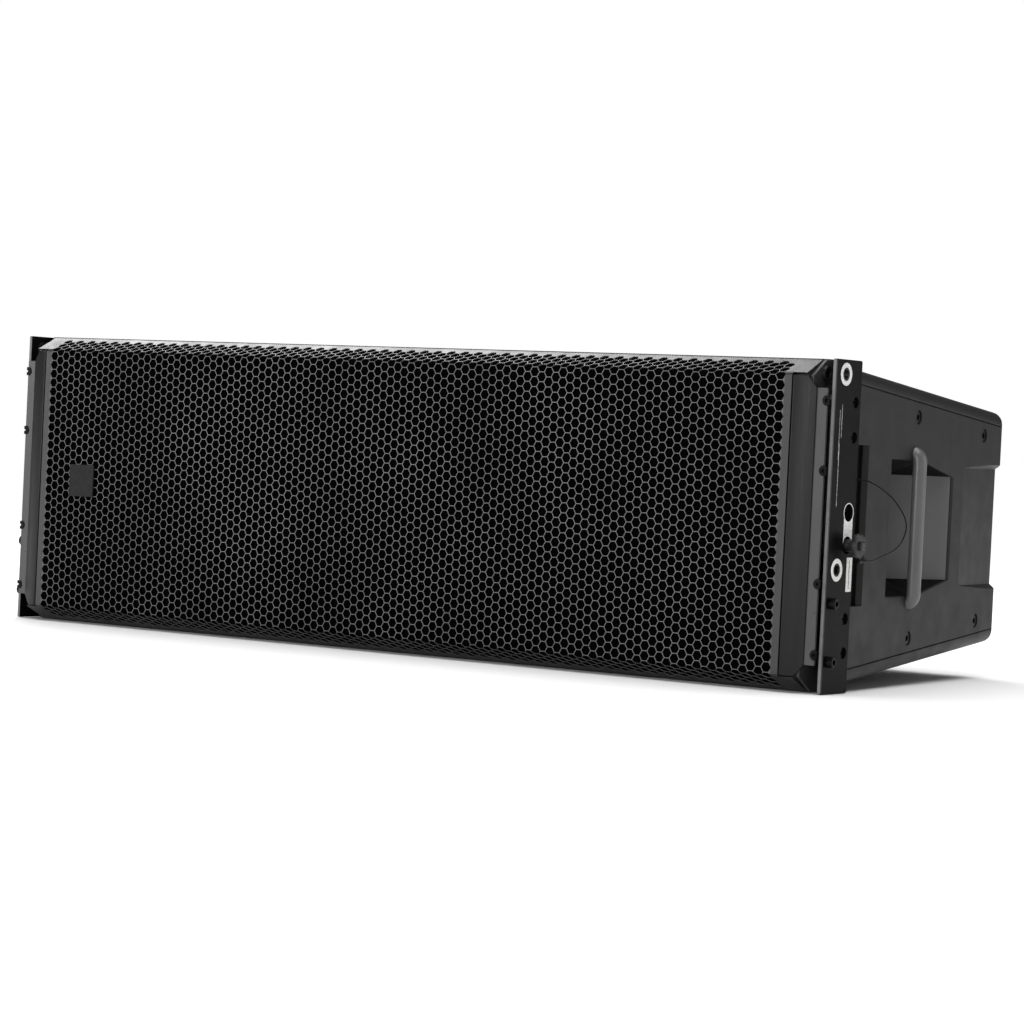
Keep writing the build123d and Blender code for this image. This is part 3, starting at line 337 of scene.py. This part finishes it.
MATERIALS = {
    "cabinet_paint": painted("cabinet_paint", (0.0092, 0.0086, 0.0085), (0.0125, 0.0117, 0.0116),
                             0.46, 1100, 0.2 * MM, 1.2 * MM, shine=0.2),
    "frame_paint": painted("frame_paint", (0.005, 0.005, 0.005), (0.009, 0.009, 0.009), 0.5, 900,
                           0.12 * MM, shine=0.3),
    "inner_ply": painted("inner_ply", (0.002, 0.002, 0.002), (0.004, 0.004, 0.004), 0.8, 500,
                         0.2 * MM, shine=0.05),
    # The perforated field's pale grey is a painted highlight on the webs; the border is darker and
    # the folded bands carry painted shade.
    "grille_steel": painted("grille_steel", (0.1, 0.1, 0.1), (0.15, 0.15, 0.15), 0.34, 2200,
                            0.04 * MM, 0.35 * MM, shine=0.22, sheen_free_border_tone=(0.045, 0.045, 0.045)),
    "foam": foam_material(),
    "badge_plate": moulded("badge_plate", (0.007, 0.007, 0.007), (0.009, 0.009, 0.009), 0.6,
                           shine=0.2),
    "cap_aluminium": brushed("cap_aluminium", (0.003, 0.003, 0.003), (0.008, 0.008, 0.008), 0.46,
                             "z", 0.2),
    # The rigging plate's front edge carries a painted highlight.
    "rigging_steel": painted("rigging_steel", (0.003, 0.003, 0.003), (0.005, 0.005, 0.005), 0.3,
                             1300, 0.02 * MM, 0.9 * MM, shine=0.05, highlight_faces="y"),
    "link_steel": plated("link_steel", (0.02, 0.02, 0.021), (0.05, 0.05, 0.05), 0.4),
    "bush_steel": ring_material(),
    "fastener_black": plated("fastener_black", (0.004, 0.004, 0.004), (0.012, 0.012, 0.012),
                             0.38),
    "pin_steel": plated("pin_steel", (0.03, 0.03, 0.03), (0.075, 0.075, 0.075), 0.42),
    "button_plastic": moulded("button_plastic", (0.004, 0.004, 0.004), (0.008, 0.008, 0.008),
                              0.35),
    "wire": plated("wire", (0.003, 0.003, 0.003), (0.01, 0.01, 0.01), 0.45),
    # The handle pocket: painted shade, almost black, on its ceiling and floor, and a painted
    # highlight on its sloped ramp.
    "handle_cup_paint": painted("handle_cup_paint", (0.014, 0.014, 0.014), (0.02, 0.02, 0.02),
                                0.55, 900, 0.12 * MM, shine=0.05, painted_shade_faces="z",
                                ramp_highlight_tone=(0.11, 0.11, 0.11)),
    "handle_bar_paint": painted("handle_bar_paint", (0.085, 0.084, 0.084), (0.11, 0.109, 0.109),
                                0.34, 1500, 0.04 * MM),
    "driver_frame": painted("driver_frame", (0.02, 0.02, 0.02), (0.03, 0.03, 0.03), 0.5, 600,
                            0.2 * MM),
    "cone_paper": moulded("cone_paper", (0.012, 0.012, 0.012), (0.02, 0.02, 0.02), 0.75, 400),
    "surround_rubber": moulded("surround_rubber", (0.01, 0.01, 0.01), (0.016, 0.016, 0.016),
                               0.6),
    "magnet": plated("magnet", (0.05, 0.05, 0.05), (0.12, 0.12, 0.12), 0.5),
    "horn_plastic": moulded("horn_plastic", (0.01, 0.01, 0.01), (0.016, 0.016, 0.016), 0.5),
    "circuit_board": moulded("circuit_board", (0.01, 0.05, 0.02), (0.015, 0.08, 0.03), 0.5),
    "coil_copper": brushed("coil_copper", (0.35, 0.12, 0.05), (0.6, 0.25, 0.12), 0.35, "x"),
    "socket_plastic": moulded("socket_plastic", (0.006, 0.006, 0.007), (0.012, 0.012, 0.013),
                              0.38),
}
FLANGE_PAINT = painted("flange_paint", (0.03, 0.03, 0.03), (0.045, 0.045, 0.045), 0.32, 1300,
                       0.03 * MM, 0.8 * MM)
LABEL_WHITE = marking_material("label_white", (0.72, 0.72, 0.7), 0.3)
PRINTED_LINE = marking_material("printed_line", (0.5, 0.5, 0.5), 0.42)

SLOT_OF = {row["node"]: row["material_slot"] for row in frame["record"]["subparts"]}
for node_name, cad_object in frame["nodes"].items():
    cad_object.data.materials.clear()
    channel = node_name.startswith("rigging_channel")
    cad_object.data.materials.append(FLANGE_PAINT if channel else MATERIALS[SLOT_OF[node_name]])


# ---------------------------------------------------------------- mesh helpers

def add_piece(name, bm, slot, body="root", smooth_angle=32, material=None):
    """A finished mesh as a piece that rides on a body."""
    bmesh.ops.recalc_face_normals(bm, faces=bm.faces)
    mesh = bpy.data.meshes.new(name)
    bm.to_mesh(mesh)
    bm.free()
    for polygon in mesh.polygons:
        polygon.use_smooth = True
    mesh.set_sharp_from_angle(angle=math.radians(smooth_angle))
    mesh.materials.append(material or MATERIALS[slot])
    piece = bpy.data.objects.new(name, mesh)
    bpy.context.scene.collection.objects.link(piece)
    if body:
        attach(piece, body)
    return piece


def prism(bm, outline, low, high, to_world):
    """A closed prism from a flat outline; to_world(a, b, c) places outline point (a, b) at c."""
    rings = [[bm.verts.new(to_world(a, b, c)) for a, b in outline] for c in (low, high)]
    bm.faces.new(rings[0])
    bm.faces.new(reversed(rings[1]))
    for i in range(len(outline)):
        j = (i + 1) % len(outline)
        bm.faces.new((rings[0][i], rings[0][j], rings[1][j], rings[1][i]))


def bevel_edges(bm, width, segments=2, angle=30):
    """Rounds the edges that are sharper than an angle."""
    sharp = [e for e in bm.edges if len(e.link_faces) == 2
             and e.calc_face_angle(0) > math.radians(angle)]
    bmesh.ops.bevel(bm, geom=sharp, offset=width, segments=segments, profile=0.6,
                    affect="EDGES", clamp_overlap=True)


# ---------------------------------------------------------------- the perforated grille

FOLD_TURN = math.atan2(BEVEL_RUN, BEVEL_RISE)
FOLD_RADIUS = 5.0 * MM                  # of the sheet's outer face
FOLD_REACH = FOLD_RADIUS * math.tan(FOLD_TURN / 2)
FLAT_HALF = (GRILLE_HIGH.z - GRILLE_LOW.z) / 2 - BEVEL_RISE
SHEET_HALF = FLAT_HALF + math.hypot(BEVEL_RUN, BEVEL_RISE)
SHEET_MARGIN = 4.0 * MM                 # no hole is punched this close to the sheet's edge


def fold(across, along, out):
    """A point of the flat sheet, bent back at the top and bottom. out is outward from the face."""
    up = abs(along)
    sign = 1 if along >= 0 else -1
    start = FLAT_HALF - FOLD_REACH
    if up <= start:
        depth, rise = -out, up
    elif up < FLAT_HALF + FOLD_REACH:
        turn = FOLD_TURN * (up - start) / (2 * FOLD_REACH)
        reach = FOLD_RADIUS + out
        depth = FOLD_RADIUS - reach * math.cos(turn)
        rise = start + reach * math.sin(turn)
    else:
        past = up - FLAT_HALF
        depth = past * math.sin(FOLD_TURN) - out * math.cos(FOLD_TURN)
        rise = FLAT_HALF + past * math.cos(FOLD_TURN) + out * math.sin(FOLD_TURN)
    return Vector((across, FACE_Y + depth, MID_Z + sign * rise))


def hexagon(centre, radius):
    return [Vector((centre[0] + radius * math.cos(i * math.pi / 3),
                    centre[1] + radius * math.sin(i * math.pi / 3), 0)) for i in range(6)]


def make_grille():
    """Hexagonal holes punched in a flat sheet, which is then thickened and folded."""
    bm = bmesh.new()
    column_pitch = HOLE_PITCH * math.cos(math.pi / 6)
    cell_r, hole_r = HOLE_PITCH / math.sqrt(3), (HOLE_PITCH - WEB) / math.sqrt(3)
    extra = math.ceil((WING_HALF - column_pitch * HOLE_COLUMNS / 2) / column_pitch) + 1
    rows = math.ceil(SHEET_HALF / HOLE_PITCH) + 1
    corners = {}

    def vert(point):
        key = (round(point.x * 1e5), round(point.y * 1e5))
        if key not in corners:
            corners[key] = bm.verts.new(point)
        return corners[key]

    for column in range(-extra, HOLE_COLUMNS + extra):
        u = (column - (HOLE_COLUMNS - 1) / 2) * column_pitch
        for row in range(-rows, rows + 1):
            v = (row + (0.5 if column % 2 else 0)) * HOLE_PITCH - LATTICE_DROP
            outer = [vert(p) for p in hexagon((u, v), cell_r)]
            punched = (0 <= column < HOLE_COLUMNS
                       and abs(v) + HOLE_PITCH / 2 < SHEET_HALF - SHEET_MARGIN)
            if not punched:
                bm.faces.new(outer)
                continue
            inner = [bm.verts.new(p) for p in hexagon((u, v), hole_r)]
            for i in range(6):
                j = (i + 1) % 6
                bm.faces.new((outer[i], outer[j], inner[j], inner[i]))
    cuts = [(1, s * (FLAT_HALF + k * FOLD_REACH), False) for s in (-1, 1)
            for k in (-1, -0.33, 0.33, 1)]
    cuts += [(0, s * (PANEL_HALF + 0.3 * MM), False) for s in (-1, 1)]
    cuts += [(0, s * WING_HALF, True) for s in (-1, 1)] + [(1, s * SHEET_HALF, True)
                                                           for s in (-1, 1)]
    for axis, place, clears in cuts:
        normal = Vector((0, 0, 0))
        normal[axis] = 1 if place > 0 else -1
        origin = Vector((0, 0, 0))
        origin[axis] = place
        bmesh.ops.bisect_plane(bm, geom=bm.verts[:] + bm.edges[:] + bm.faces[:], dist=1e-6,
                               plane_co=origin, plane_no=normal, clear_outer=clears)
    beside = [f for f in bm.faces if abs(f.calc_center_median().x) > PANEL_HALF + 0.3 * MM
              and abs(f.calc_center_median().y) < FLAT_HALF + FOLD_REACH]
    bmesh.ops.delete(bm, geom=beside, context="FACES")
    for f in bm.faces:
        if f.normal.z < 0:
            f.normal_flip()
    bmesh.ops.solidify(bm, geom=bm.faces[:], thickness=SHEET_T)
    levels = [v.co.z for v in bm.verts]
    top = max(levels)
    for v in bm.verts:
        v.co = fold(v.co.x, v.co.y, v.co.z - top)
    grille = add_piece("perforated_grille", bm, "grille_steel")
    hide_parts("grille")


make_grille()


# ---------------------------------------------------------------- foam behind the holes

def make_foam():
    """A thin foam sheet that follows the grille's folds from behind."""
    bm = bmesh.new()
    inset, thick = 2.2 * MM, 3 * MM
    steps = [SHEET_HALF - 9 * MM, FLAT_HALF + FOLD_REACH, FLAT_HALF, FLAT_HALF - FOLD_REACH, 0]
    profile = [-s for s in steps] + steps[-2::-1]
    half = PANEL_HALF - 4 * MM
    rings = []
    for across in (-half, half):
        front = [fold(across, s, -inset) for s in profile]
        rear = [fold(across, s, -inset - thick) for s in profile]
        rings.append([bm.verts.new(p) for p in front + rear[::-1]])
    count = len(rings[0])
    for i in range(count):
        j = (i + 1) % count
        bm.faces.new((rings[0][i], rings[0][j], rings[1][j], rings[1][i]))
    for ring in rings:
        bm.faces.new(ring)
    foam = add_piece("foam_sheet", bm, "foam")
    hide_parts("grille_foam")


make_foam()


# ---------------------------------------------------------------- brushed end strips

STRIP_BEND, STRIP_OUTER = 534.5 * MM, 556.3 * MM    # from the middle to its fold and outer edge
STRIP_SLOPE = 7.8 / 22                  # how fast the folded part runs back
STRIP_T = 2.0 * MM
LUG_LOW, LUG_HIGH = 30 * MM, 318.8 * MM  # the part that covers the rigging flange


def make_end_cap(side):
    """The brushed strip beside the grille, folded back at its outer part, on a painted block."""
    seam, wall = PANEL_HALF + 1.8 * MM, WING_HALF - 0.1 * MM
    low, high = MID_Z - FLAT_HALF + 0.8 * MM, MID_Z + FLAT_HALF - 1.6 * MM
    outline = [(seam, low), (wall, low), (STRIP_OUTER, LUG_LOW), (STRIP_OUTER, LUG_HIGH),
               (wall, high), (seam, high)]
    bm = bmesh.new()
    prism(bm, outline, 0, STRIP_T, lambda x, z, d: Vector((x, d, z)))
    bmesh.ops.bisect_plane(bm, geom=bm.verts[:] + bm.edges[:] + bm.faces[:],
                           plane_co=(STRIP_BEND, 0, 0), plane_no=(1, 0, 0))
    for v in bm.verts:
        v.co.y += FACE_Y + max(0, v.co.x - STRIP_BEND) * STRIP_SLOPE
        v.co.x *= side
    bmesh.ops.recalc_face_normals(bm, faces=bm.faces)
    bevel_edges(bm, 0.45 * MM, 2, 40)
    name = "right" if side > 0 else "left"
    strip = add_piece(f"end_strip_{name}", bm, "cap_aluminium")
    block = bmesh.new()
    inset = 1.7 * MM
    top = MID_Z + FLAT_HALF
    profile = [(BEVEL_RUN, top + BEVEL_RISE - inset * 1.1), (8.4 * MM, top + 3.2 * MM),
               (7 * MM, top - 1 * MM)]
    mirrored = [(d, 2 * MID_Z - z) for d, z in profile[::-1]]
    prism(block, profile + mirrored, seam * side, wall * side,
          lambda d, z, x: Vector((x, FACE_Y + d, z)))
    add_piece(f"end_block_{name}", block, "frame_paint")
    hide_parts(f"end_cap_{name}")


for which_end in (1, -1):
    make_end_cap(which_end)


# ---------------------------------------------------------------- blank labels and marks

def at_depth(depth):
    """Y of a point so many millimetres behind the grille's face."""
    return FACE_Y + depth * MM


def thin_label(name, outlines, material, low=0, thick=0.12):
    """Flat printed shapes that stand just proud of the right rigging plate."""
    def on_plate(depth, z, up):
        return Vector((PLATE_X + up * MM, at_depth(depth), z * MM))

    bm = bmesh.new()
    for outline in outlines:
        prism(bm, outline, low, low + thick, on_plate)
    return add_piece(name, bm, "bush_steel", material=material)


def ring_outline(centre, z, inner, outer, steps=40):
    """A ring as a chain of four-sided pieces."""
    def point(radius, i):
        angle = 2 * math.pi * i / steps
        return (centre + radius * math.cos(angle), z + radius * math.sin(angle))
    return [[point(inner, i), point(outer, i), point(outer, i + 1), point(inner, i + 1)]
            for i in range(steps)]


def rectangle(d0, d1, z0, z1):
    return [(d0, z0), (d1, z0), (d1, z1), (d0, z1)]


def make_labels():
    """A tag between the two access holes, a tall blank strip, printed lines and shaded rings."""
    edge = ACCESS_R + 0.05
    arc = [math.radians(12 + 7.8 * i) for i in range(21)]
    lower = [(PIN_D - edge * math.cos(a), PIN_Z + edge * math.sin(a)) for a in arc]
    upper = [(PIN_D - edge * math.cos(a), LOCK_Z - edge * math.sin(a)) for a in arc]
    tag = list(zip(lower, lower[1:], upper[1:], upper))
    thin_label("access_tag", tag, LABEL_WHITE)
    thin_label("lock_ring", ring_outline(PIN_D, LOCK_Z, edge, edge + 1.15), LABEL_WHITE,
               thick=0.1)
    thin_label("blank_strip", [rectangle(56.0, 67.5, 107.0, 143.0)], LABEL_WHITE)
    thin_label("strip_line", [rectangle(61.2, 62.0, 110.0, 140.0)], MATERIALS["frame_paint"],
               thick=0.2)
    lines = [rectangle(27.0, 28.0, 196.0, 262.0), rectangle(30.0, 31.0, 268.0, 303.0),
             rectangle(26.0, 26.8, 245.0, 297.0)]
    thin_label("printed_lines", lines, PRINTED_LINE, thick=0.06)
    shade = [piece for z in BORE_ZS for piece in ring_outline(BORE_D, z, BORE_R + 0.05,
                                                            BORE_SHADE_R)]
    thin_label("bore_shade", shade, MATERIALS["frame_paint"], low=BORE_LIP, thick=0.05)


make_labels()


# ---------------------------------------------------------------- lanyard

LANYARD_D = 1.4 * MM
ROUTE = [  # x, depth behind the grille's face, z, in millimetres
    (563.15, 71.5, 225.0),
    (572.15, 71.5, 225.0),
    (581.5, 79.5, 225.0),
    (586.5, 94.0, 219.5),
    (589.5, 115.0, 211.0),
    (591.0, 137.0, 198.0),
    (591.5, 156.0, 179.5),
    (591.0, 147.0, 160.0),
    (590.0, 128.0, 150.0),
    (589.5, 107.0, 145.5),
    (589.25, 86.0, 140.0),
    (589.25, 69.0, 140.0),
]


def smooth_line(points):
    """Points read from a NURBS spline that has the route as its control points."""
    data = bpy.data.curves.new("route", "CURVE")
    data.dimensions = "3D"
    spline = data.splines.new("NURBS")
    spline.points.add(len(points) - 1)
    for control, (x, depth, z) in zip(spline.points, points):
        control.co = (x * MM, FACE_Y + depth * MM, z * MM, 1)
    spline.order_u = 3
    spline.use_endpoint_u = True
    spline.resolution_u = 14
    holder = bpy.data.objects.new("route", data)
    mesh = bpy.data.meshes.new_from_object(holder)
    line = [v.co.copy() for v in mesh.vertices]
    bpy.data.objects.remove(holder)
    bpy.data.meshes.remove(mesh)
    return line


def tube(bm, line, radius, sides, twist=0.0):
    """A round tube along a line, with closed ends."""
    normal = Vector((0, 0, 1))
    rings = []
    for i, point in enumerate(line):
        ahead = (line[min(i + 1, len(line) - 1)] - line[max(i - 1, 0)]).normalized()
        normal = (normal - ahead * normal.dot(ahead)).normalized()
        across = ahead.cross(normal)
        ring = []
        for k in range(sides):
            angle = 2 * math.pi * k / sides + twist * i
            ring.append(bm.verts.new(point + (normal * math.cos(angle)
                                              + across * math.sin(angle)) * radius))
        rings.append(ring)
    for one, two in zip(rings, rings[1:]):
        for k in range(sides):
            n = (k + 1) % sides
            bm.faces.new((one[k], one[n], two[n], two[k]))
    bm.faces.new(rings[0])
    bm.faces.new(rings[-1])


def make_lanyard():
    line = smooth_line(ROUTE)
    bm = bmesh.new()
    tube(bm, line, LANYARD_D / 2, 12)
    lanyard = add_piece("lanyard_wire", bm, "wire", body=None, smooth_angle=60)
    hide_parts("lanyard")
    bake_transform(lanyard)


make_lanyard()


# ---------------------------------------------------------------- floor and light

def make_floor():
    """A wide pale studio floor."""
    bm = bmesh.new()
    bmesh.ops.create_circle(bm, cap_ends=True, segments=96, radius=9)
    mesh = bpy.data.meshes.new("studio_floor")
    bm.to_mesh(mesh)
    bm.free()
    floor = bpy.data.objects.new("studio_floor", mesh)
    floor.location.z = cad_box[0][2] - 0.0005
    bpy.context.scene.collection.objects.link(floor)
    s = Surface("studio_floor", 0.9)
    s.colour(s.mix(s.noise(3, 2), (0.8, 0.8, 0.8), (0.83, 0.83, 0.83)))
    mesh.materials.append(s.material)


def softbox(name, place, target, width, height, power):
    """A rectangular area light aimed at a point."""
    data = bpy.data.lights.new(name, "AREA")
    data.shape = "RECTANGLE"
    data.size, data.size_y = width, height
    data.energy = power
    light = bpy.data.objects.new(name, data)
    light.location = place
    light.rotation_euler = (Vector(target) - Vector(place)).to_track_quat("-Z", "Y").to_euler()
    bpy.context.scene.collection.objects.link(light)


def make_light():
    """White surroundings, dimmer as light than to the eye, with large soft boxes."""
    world = bpy.data.worlds.new("studio")
    bpy.context.scene.world = world
    world.use_nodes = True
    tree = world.node_tree
    seen = tree.nodes.new("ShaderNodeLightPath")
    strength = tree.nodes.new("ShaderNodeMapRange")
    strength.inputs["To Min"].default_value = 0.13
    strength.inputs["To Max"].default_value = 1.0
    tree.links.new(seen.outputs["Is Camera Ray"], strength.inputs["Value"])
    background = tree.nodes["Background"]
    background.inputs["Color"].default_value = (1, 1, 1, 1)
    tree.links.new(strength.outputs["Result"], background.inputs["Strength"])
    ceiling = bpy.data.lights.new("ceiling", "SUN")
    ceiling.energy = 3.6
    ceiling.angle = math.radians(70)
    bpy.context.scene.collection.objects.link(bpy.data.objects.new("ceiling", ceiling))
    softbox("left_rear_box", (-2.3, 1.9, 2.4), (0, 0, 0.3), 2.0, 1.6, 70)
    softbox("left_front_box", (-2.2, -3.0, 0.9), (0, 0, 0.2), 1.4, 1.6, 40)
    softbox("right_box", (2.9, 2.6, 1.1), (0.5, 0, 0.2), 1.0, 1.6, 14)
    softbox("front_box", (1.4, -4.0, 1.0), (0.5, 0, 0.2), 0.8, 1.6, 60)


make_floor()
make_light()
bpy.context.scene.view_settings.view_transform = "Standard"
